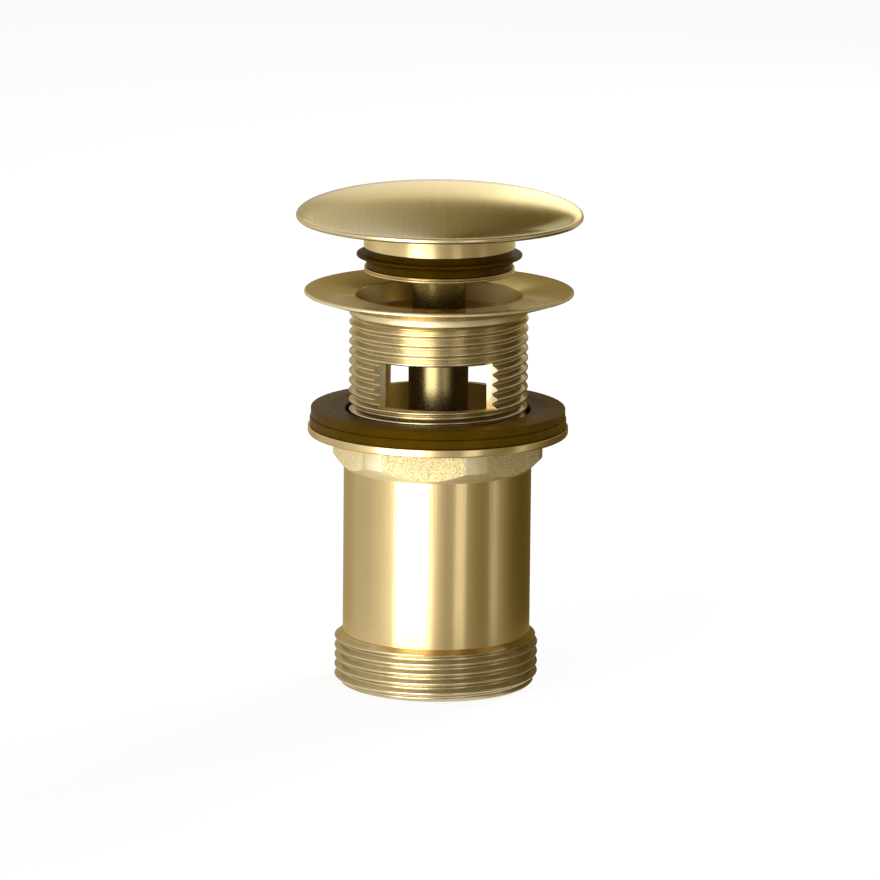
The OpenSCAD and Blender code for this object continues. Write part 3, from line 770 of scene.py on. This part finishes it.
class BASINWASTE_OT_washers(bpy.types.Operator):
    """Mould the sealing washer and the friction washer under it"""
    bl_idname = "basin_waste.washers"
    bl_label = "Washers"

    def execute(self, context):
        s = sizes()
        foot, top = span("sealing_washer")
        land_w, dip_w, dip = 4, 2.4, 0.4
        sealing = turned("sealing_washer_ring", rounded(
            (s.washer_hole_r, foot), (s.washer_r, foot, 0.35), (s.washer_r, top, 0.3),
            (s.washer_r - land_w, top, 0.8), (s.washer_hole_r + dip_w, top - dip, 0.8),
            (s.washer_hole_r, top - dip, 0.25)))
        place(sealing, "washers", "rubber", [moulded_rubber()], "sealing_washer")
        foot, top = span("friction_washer")
        friction_r = s.washer_r + 0.25
        friction = turned("friction_washer_ring", rounded(
            (s.washer_hole_r, foot), (friction_r, foot, 0.3), (friction_r, top, 0.35),
            (s.washer_hole_r, top)))
        place(friction, "washers", "polymer", [moulded_polymer()], "friction_washer")
        return {"FINISHED"}


class BASINWASTE_OT_dome_cap(bpy.types.Operator):
    """Spin the domed cap with its rim and its boss"""
    bl_idname = "basin_waste.dome_cap"
    bl_label = "Domed cap"

    def execute(self, context):
        s = sizes()
        apex = high("dome_cap")
        crown_h, rim_h, steps = 6.5, 1.25, 64
        side_z = apex - crown_h
        leans = [math.pi / 2 * k / steps for k in range(steps)]
        outer = [Vector((s.dome_r * math.sin(a), side_z + crown_h * math.cos(a))) for a in leans]
        edge = arc((s.dome_r - rim_h, side_z), rim_h, 0, -90, 12)
        ball_z, inner_r, rim_in = apex - s.dome_ball_r, s.dome_ball_r - s.dome_wall, s.dome_r - s.dome_wall
        boss_r, boss_z = s.stud_hole_r + 2.4, low("dome_cap")
        hole_z = boss_z + 6.5
        inside = arc((0, ball_z), inner_r, math.degrees(math.acos(rim_in / inner_r)),
                     math.degrees(math.acos(boss_r / inner_r)), 24)
        boss = [(boss_r, boss_z), (s.stud_hole_r, boss_z), (s.stud_hole_r, hole_z), (0, hole_z)]
        dome = turned("dome_cap_shell", outer + edge + [(rim_in, side_z - rim_h)] + inside + boss, steps=192)
        place(dome, "plug", "brushed_brass", [brushed_brass()], "dome_cap")
        return {"FINISHED"}


class BASINWASTE_OT_plug(bpy.types.Operator):
    """Turn the plug's skirt and retainer, and mould its seal"""
    bl_idname = "basin_waste.plug"
    bl_label = "Plug and seal"

    def execute(self, context):
        s = sizes()
        foot, top = span("plug_body")
        skirt_z, floor_z = high("plug_seal"), low("dome_cap")
        inner_r = s.skirt_r - 2
        body = turned("plug_skirt", rounded(
            (s.stud_hole_r, foot), (s.spigot_r, foot), (s.spigot_r, skirt_z), (s.skirt_r, skirt_z, 0.3),
            (s.skirt_r, top), (inner_r, top), (inner_r, floor_z), (s.stud_hole_r, floor_z)))
        place(body, "plug", "turned_brass", [turned_brass()], "plug_body")

        hole, base = s.spigot_r + 0.1, low("plug_seal")
        seal = turned("plug_seal_ring", rounded(
            (hole, base), (s.seal_r + 0.2, base, 0.3), (s.seal_r + 0.1, base + 1.0, 0.6),
            (s.seal_r, base + 1.9, 0.8), (s.lip_r, base + 2.6, 0.2), (s.lip_r, base + 3.15, 0.2),
            (s.seal_r, base + 3.1, 0.4), (s.seal_r, skirt_z, 0.25), (hole, skirt_z)))
        place(seal, "plug", "rubber", [moulded_rubber()], "plug_seal")

        foot, top = span("seal_retainer")
        groove_r, upper_r = s.retainer_r - 0.4, s.retainer_r - 0.05
        retainer = turned("seal_retainer_ring", rounded(
            (hole, foot), (s.retainer_r, foot, 0.3), (s.retainer_r, foot + 0.62, 0.12),
            (groove_r, foot + 0.68, 0.1), (groove_r, top - 0.25, 0.1), (upper_r, top - 0.2, 0.08),
            (upper_r, top, 0.08), (hole, top)))
        place(retainer, "plug", "turned_brass", [turned_brass()], "seal_retainer")
        return {"FINISHED"}


class BASINWASTE_OT_cartridge(bpy.types.Operator):
    """Turn the plunger and its housing, and finish the small parts inside"""
    bl_idname = "basin_waste.cartridge"
    bl_label = "Cartridge"

    def execute(self, context):
        s = sizes()
        foot, top = span("plunger")
        cam_r, bore_r = 5.35, 4.4
        (groove, groove_top), (clip, clip_top) = SEAL_GROOVE_Z, CLIP_GROOVE_Z
        groove_r, clip_r = s.plunger_r - 1, cam_r + 0.45
        plunger = turned("plunger_sleeve", rounded(
            (cam_r, foot), (s.plunger_r, foot, 0.2), (s.plunger_r, groove), (groove_r, groove),
            (groove_r, groove_top), (s.plunger_r, groove_top), (s.plunger_r, top, 0.2), (s.stud_hole_r, top),
            (s.stud_hole_r, PLUNGER_CROWN_Z), (bore_r, PLUNGER_CROWN_Z), (bore_r, CAM_ROOM_Z),
            (cam_r, CAM_ROOM_Z), (cam_r, clip_top), (clip_r, clip_top), (clip_r, clip), (cam_r, clip)),
            steps=SLIM_STEPS)
        # The plunger's darker, browner brass is painted shade.
        place(plunger, "plug", "turned_brass", [rolled_brass_painted_shade()], "plunger")

        foot, top = span("cartridge_housing")
        floor_z = foot + 2
        housing = turned("cartridge_tube", rounded(
            (s.stud_hole_r, foot), (s.housing_r, foot, 0.3), (s.housing_r, top, 0.2),
            (s.housing_bore_r, top, 0.15), (s.housing_bore_r, floor_z), (s.stud_hole_r, floor_z)),
            steps=SLIM_STEPS)
        place(housing, "body", "turned_brass", [drawn_brass()], "cartridge_housing")

        finishes = {
            "core_post": turned_brass(), "lock_nut": turned_brass(), "cam_ring": machined_acetal(),
            "plunger_seal": moulded_rubber(), "plug_stud": drawn_steel(), "track_balls": drawn_steel(),
            "ring_clip": drawn_steel(), "spring_seat": drawn_steel(), "split_washer": drawn_steel(),
        }
        for name, material in finishes.items():
            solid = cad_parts[name]
            solid.data.materials.clear()
            solid.data.materials.append(material)
        return {"FINISHED"}


class BASINWASTE_OT_return_spring(bpy.types.Operator):
    """Wind the return spring, with its end coils closed"""
    bl_idname = "basin_waste.return_spring"
    bl_label = "Return spring"

    def execute(self, context):
        s = sizes()
        coils, steps, sides = 10, 28, 12
        foot, top = SPRING_Z
        pitch = (top - foot - 2 * s.wire_r) / coils
        start = foot + s.wire_r
        deselect()
        bpy.ops.mesh.primitive_circle_add(vertices=sides, radius=s.wire_r * MM, rotation=(math.pi / 2, 0, 0),
                                          location=(s.spring_r * MM, 0, start * MM))
        spring = named("return_spring_wire")
        settle()
        wind(spring, pitch, coils, steps)
        bpy.ops.object.mode_set(mode="EDIT")
        bpy.ops.mesh.select_all(action="SELECT")
        bpy.ops.mesh.fill_holes(sides=0)
        close_up()
        wire = 2 * s.wire_r
        for vertex in spring.data.vertices:
            share = math.atan2(vertex.co.y, vertex.co.x) / math.tau
            rise = (vertex.co.z / MM - start) / pitch
            done = round(rise - share) + share
            closed = wire * min(done, 1) + wire * max(done - coils + 1, 0)
            open_share = (min(max(done, 1), coils - 1) - 1) / (coils - 2)
            height = closed + open_share * (top - foot - 3 * wire)
            vertex.co.z += (height - done * pitch) * MM
        place(spring, "body", "steel", [drawn_steel()], "return_spring")
        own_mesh(spring)
        return {"FINISHED"}


# Stage

# The tent's cards, as start and end of the half section, then degrees from the front towards the right, and
# levels: the tray is what the tail's foot mirrors, and the walls are what the tube and the threads, the skirt
# under the dome, and the flange's top with the dome's lower edge mirror.
TENT_R = 70
TENT_STEPS = 120            # facets round the tent
TENTS = (
    ("tray", (26, 0), (TENT_R, 0), (
        (-180, 0.42), (-118, 0.72), (-80, 0.95), (-63, 1.05), (-41, 1.2), (-20, 1.2), (-6, 0.6), (10, 0.42),
        (32, 0.38), (50, 0.32), (82, 0.32), (105, 0.28), (158, 0.28), (180, 0.42))),
    ("lower_tent", (TENT_R, 0), (TENT_R, 86), (
        (-180, 0.42), (-143, 0.47), (-118, 0.55), (-103, 0.68), (-80, 0.72), (-63, 0.95), (-55, 1.2),
        (-47, 1.5), (-41, 5.4), (-12, 5.4), (-7, 2.6), (-2, 1.2), (4, 0.72), (10, 0.54), (17, 0.56),
        (20, 1.2), (28, 1.2), (32, 0.46), (42, 0.32), (50, 0.27), (57, 0.32), (61, 0.66), (66, 0.66),
        (71, 0.42), (82, 0.25), (93, 0.16), (105, 0.13), (130, 0.12), (158, 0.14), (166, 0.36), (180, 0.42))),
    ("middle_tent", (TENT_R, 86), (TENT_R, 97), (
        (-180, 0.6), (-127, 0.68), (-92, 1.25), (-63, 1.1), (-42, 1.3), (-36, 4.0), (-24, 4.0), (-16, 1.2),
        (0, 0.72), (30, 0.59), (62, 0.43), (103, 0.48), (154, 0.68), (180, 0.6))),
    ("upper_tent", (TENT_R, 97), (TENT_R, 115.5), (
        (-180, 0.28), (-155, 0.34), (-118, 0.7), (-78, 0.8), (-57, 0.56), (-31, 0.42), (0, 0.33), (28, 0.22),
        (56, 0.18), (77, 0.2), (95, 0.42), (112, 0.6), (135, 0.4), (155, 0.25), (180, 0.28))),
)
# The wall behind, the ceiling and a panel under it at the back, as size, spot and tilt in metres and degrees,
# then metres to the right, and levels.
FLAT_CARDS = (
    ("back_wall", (1.6, 0.75), (0, 1.0, 0.075), 90, (
        (-0.8, 0.5), (-0.17, 0.55), (-0.09, 0.95), (-0.03, 1.15), (0.04, 1.4), (0.08, 2.4), (0.2, 2.4),
        (0.8, 1.0))),
    ("ceiling", (2.4, 2.0), (0, 0, 0.45), 0, (
        (-1.2, 0.9), (-0.6, 0.8), (-0.37, 0.78), (-0.2, 0.7), (-0.12, 0.64), (-0.067, 0.5), (0, 0.33),
        (0.06, 0.22), (0.114, 0.16), (0.4, 0.18), (1.2, 0.6))),
    ("right_panel", (0.8, 0.6), (0.65, 0.38, 0.44), 0, ((0.25, 0.4), (0.4, 0.66), (1.05, 0.66))),
)
# A card is white down to this level; below it, green and blue fall by these powers, so that it turns warm.
WARM_BELOW = 0.6
WARM_GREEN = 0.15
WARM_BLUE = 0.8
# Lamps as name, spot, size in metres, and watts; all are aimed at one point on the axis.
LAMP_AIM = Vector((0, 0, 0.06))
LAMPS = (
    ("key_softbox", (-0.55, -0.75, 0.45), (0.5, 0.7), 7.0),
    ("rim_softbox", (0.55, 0.7, 0.35), (0.35, 0.2), 10.0),
)
ROOM_LIGHT = 0.55           # strength of the world as a lamp, where 1 is the white that is seen
FLOOR_SIZE = 8              # metres
FLOOR_Z = -0.0002           # just clear of the tail's foot
FLOOR_WHITE = 0.88          # share of the floor that is seen as plain white; the rest takes the shadow
CAMERA_SPOT = (0.00052, -1.5, 0.365)
CAMERA_DOWN = math.radians(11.58)
CAMERA_ROLL = math.radians(0.55)
CAMERA_LENS = 267.3         # millimetres, as is the sensor's width
CAMERA_SENSOR = 36.0


def seen_white(tree):
    """1 for the rays that show the white surround: to the camera, in a reflection or through glass."""
    path = node(tree, "ShaderNodeLightPath").outputs
    shown = node(tree, "ShaderNodeMath", {0: path["Is Camera Ray"], 1: path["Is Glossy Ray"]},
                 operation="MAXIMUM")
    return node(tree, "ShaderNodeMath", {0: shown.outputs["Value"], 1: path["Is Transmission Ray"]},
                operation="MAXIMUM").outputs["Value"]


def light_card(card, stops, where):
    """Makes a piece of the studio that only reflections show.

    stops are (place, level) along the coordinate that where(tree) gives; a level of 1 is white."""
    material = bpy.data.materials.new(card.name)
    tree = emptied(material)
    first, last, peak = stops[0][0], stops[-1][0], max(level for _, level in stops)
    share = node(tree, "ShaderNodeMapRange", {"Value": where(tree), "From Min": first, "From Max": last})
    ramp = node(tree, "ShaderNodeValToRGB", {"Fac": share.outputs["Result"]})
    marks = ramp.color_ramp.elements
    for at, level in stops:
        position = (at - first) / (last - first)
        mark = marks[0] if at == first else marks[-1] if at == last else marks.new(position)
        red = level / peak
        warm = min(1.0, level / WARM_BELOW)
        mark.color = (red, red * warm ** WARM_GREEN, red * warm ** WARM_BLUE, 1)
    light = node(tree, "ShaderNodeEmission", {"Color": ramp.outputs["Color"], "Strength": peak})
    node(tree, "ShaderNodeOutputMaterial", {"Surface": light.outputs["Emission"]})
    card.data.materials.append(material)
    card.visible_camera = card.visible_diffuse = card.visible_transmission = card.visible_shadow = False


def across(tree):
    """Metres to the right."""
    point = node(tree, "ShaderNodeTexCoord").outputs["Object"]
    return node(tree, "ShaderNodeSeparateXYZ", {"Vector": point}).outputs["X"]


def around(tree):
    """Degrees round the axis, from the front (0) to the right (90)."""
    point = node(tree, "ShaderNodeTexCoord").outputs["Object"]
    axes = node(tree, "ShaderNodeSeparateXYZ", {"Vector": point}).outputs
    front = node(tree, "ShaderNodeMath", {0: axes["Y"], 1: -1.0}, operation="MULTIPLY").outputs["Value"]
    angle = node(tree, "ShaderNodeMath", {0: axes["X"], 1: front}, operation="ARCTAN2").outputs["Value"]
    return node(tree, "ShaderNodeMath", {0: angle}, operation="DEGREES").outputs["Value"]


def flat_card(name, size, spot, tilt):
    """A flat card with its place in its mesh."""
    deselect()
    bpy.ops.mesh.primitive_plane_add(size=1, location=spot, rotation=(math.radians(tilt), 0, 0))
    card = named(name)
    card.scale = (*size, 1)
    settle()
    return card


class BASINWASTE_OT_stage(bpy.types.Operator):
    """Set the floor, the lamps, the cards and the camera"""
    bl_idname = "basin_waste.stage"
    bl_label = "Stage"

    def execute(self, context):
        scene = context.scene
        scene.view_settings.view_transform = "Standard"
        self.surround(scene)
        self.lamps()
        self.cards()
        self.camera(scene)
        return {"FINISHED"}

    def surround(self, scene):
        """White world and a pale floor that keeps the part's shadow."""
        world = bpy.data.worlds.new("studio")
        scene.world = world
        tree = emptied(world)
        strength = node(tree, "ShaderNodeMapRange", {"Value": seen_white(tree), "To Min": ROOM_LIGHT,
                                                     "To Max": 1.0}).outputs["Result"]
        sky = node(tree, "ShaderNodeBackground", {"Color": (1, 1, 1, 1), "Strength": strength})
        node(tree, "ShaderNodeOutputWorld", {"Surface": sky.outputs["Background"]})

        deselect()
        bpy.ops.mesh.primitive_plane_add(size=FLOOR_SIZE, location=(0, 0, FLOOR_Z))
        floor = bpy.context.object
        floor.name = "floor"
        material = bpy.data.materials.new("matt_white_floor")
        tree = emptied(material)
        paint = node(tree, "ShaderNodeBsdfDiffuse", {"Color": tuple(palette().floor)})
        white = node(tree, "ShaderNodeEmission", {"Color": (1, 1, 1, 1), "Strength": 1.0})
        share = node(tree, "ShaderNodeMath", {0: seen_white(tree), 1: FLOOR_WHITE}, operation="MULTIPLY")
        mixed = node(tree, "ShaderNodeMixShader", {0: share.outputs["Value"], 1: paint.outputs["BSDF"],
                                                   2: white.outputs["Emission"]})
        node(tree, "ShaderNodeOutputMaterial", {"Surface": mixed.outputs["Shader"]})
        floor.data.materials.append(material)

    def lamps(self):
        """A large softbox from the front left and a small one from behind on the right."""
        for name, spot, size, watts in LAMPS:
            deselect()
            bpy.ops.object.light_add(type="AREA", location=spot)
            lamp = bpy.context.object
            lamp.name = name
            lamp.data.shape = "RECTANGLE"
            lamp.data.size, lamp.data.size_y = size
            lamp.data.energy = watts
            lamp.rotation_euler = (LAMP_AIM - Vector(spot)).to_track_quat("-Z", "Y").to_euler()
            lamp.visible_camera = lamp.visible_glossy = False

    def cards(self):
        """What the brass mirrors: a tray and a tent round the part, a wall, a ceiling and a panel."""
        for name, start, end, stops in TENTS:
            tent = draw(name, [start, end], False)
            bpy.ops.mesh.spin(steps=TENT_STEPS, angle=math.tau, center=(0, 0, 0), axis=(0, 0, 1))
            close_up()
            light_card(tent, stops, around)
        for name, size, spot, tilt, stops in FLAT_CARDS:
            light_card(flat_card(name, size, spot, tilt), stops, across)

    def camera(self, scene):
        """The photograph's view: long lens, eleven and a half degrees down, a slight roll."""
        deselect()
        bpy.ops.object.camera_add(location=CAMERA_SPOT)
        camera = bpy.context.object
        tilt = Euler((math.pi / 2 - CAMERA_DOWN, 0, 0)).to_matrix()
        camera.rotation_euler = (tilt @ Matrix.Rotation(CAMERA_ROLL, 3, "Z")).to_euler()
        camera.data.lens = CAMERA_LENS
        camera.data.sensor_width = CAMERA_SENSOR
        scene.camera = camera


class BASINWASTE_PT_panel(bpy.types.Panel):
    """Basin waste in the 3D view's sidebar"""
    bl_idname = "BASINWASTE_PT_panel"
    bl_label = "Basin waste"
    bl_space_type = "VIEW_3D"
    bl_region_type = "UI"
    bl_category = "Basin waste"

    def draw(self, context):
        column = self.layout.column()
        for operator in OPERATORS:
            column.operator(operator.bl_idname)
        for group in (context.scene.basin_waste_sizes, context.scene.basin_waste_colours):
            for name in group.__annotations__:
                column.prop(group, name)


OPERATORS = (
    BASINWASTE_OT_waste_body, BASINWASTE_OT_tail_piece, BASINWASTE_OT_washers, BASINWASTE_OT_dome_cap,
    BASINWASTE_OT_plug, BASINWASTE_OT_cartridge, BASINWASTE_OT_return_spring, BASINWASTE_OT_stage,
)
CLASSES = (BasinWasteSizes, BasinWasteColours, *OPERATORS, BASINWASTE_PT_panel)


def register():
    for cls in CLASSES:
        bpy.utils.register_class(cls)
    bpy.types.Scene.basin_waste_sizes = bpy.props.PointerProperty(type=BasinWasteSizes)
    bpy.types.Scene.basin_waste_colours = bpy.props.PointerProperty(type=BasinWasteColours)


def unregister():
    del bpy.types.Scene.basin_waste_colours
    del bpy.types.Scene.basin_waste_sizes
    for cls in reversed(CLASSES):
        bpy.utils.unregister_class(cls)


def main():
    register()
    bpy.ops.basin_waste.waste_body()
    bpy.ops.basin_waste.tail_piece()
    bpy.ops.basin_waste.washers()
    bpy.ops.basin_waste.dome_cap()
    bpy.ops.basin_waste.plug()
    bpy.ops.basin_waste.cartridge()
    bpy.ops.basin_waste.return_spring()
    bpy.ops.basin_waste.stage()


if __name__ == "__main__":
    main()
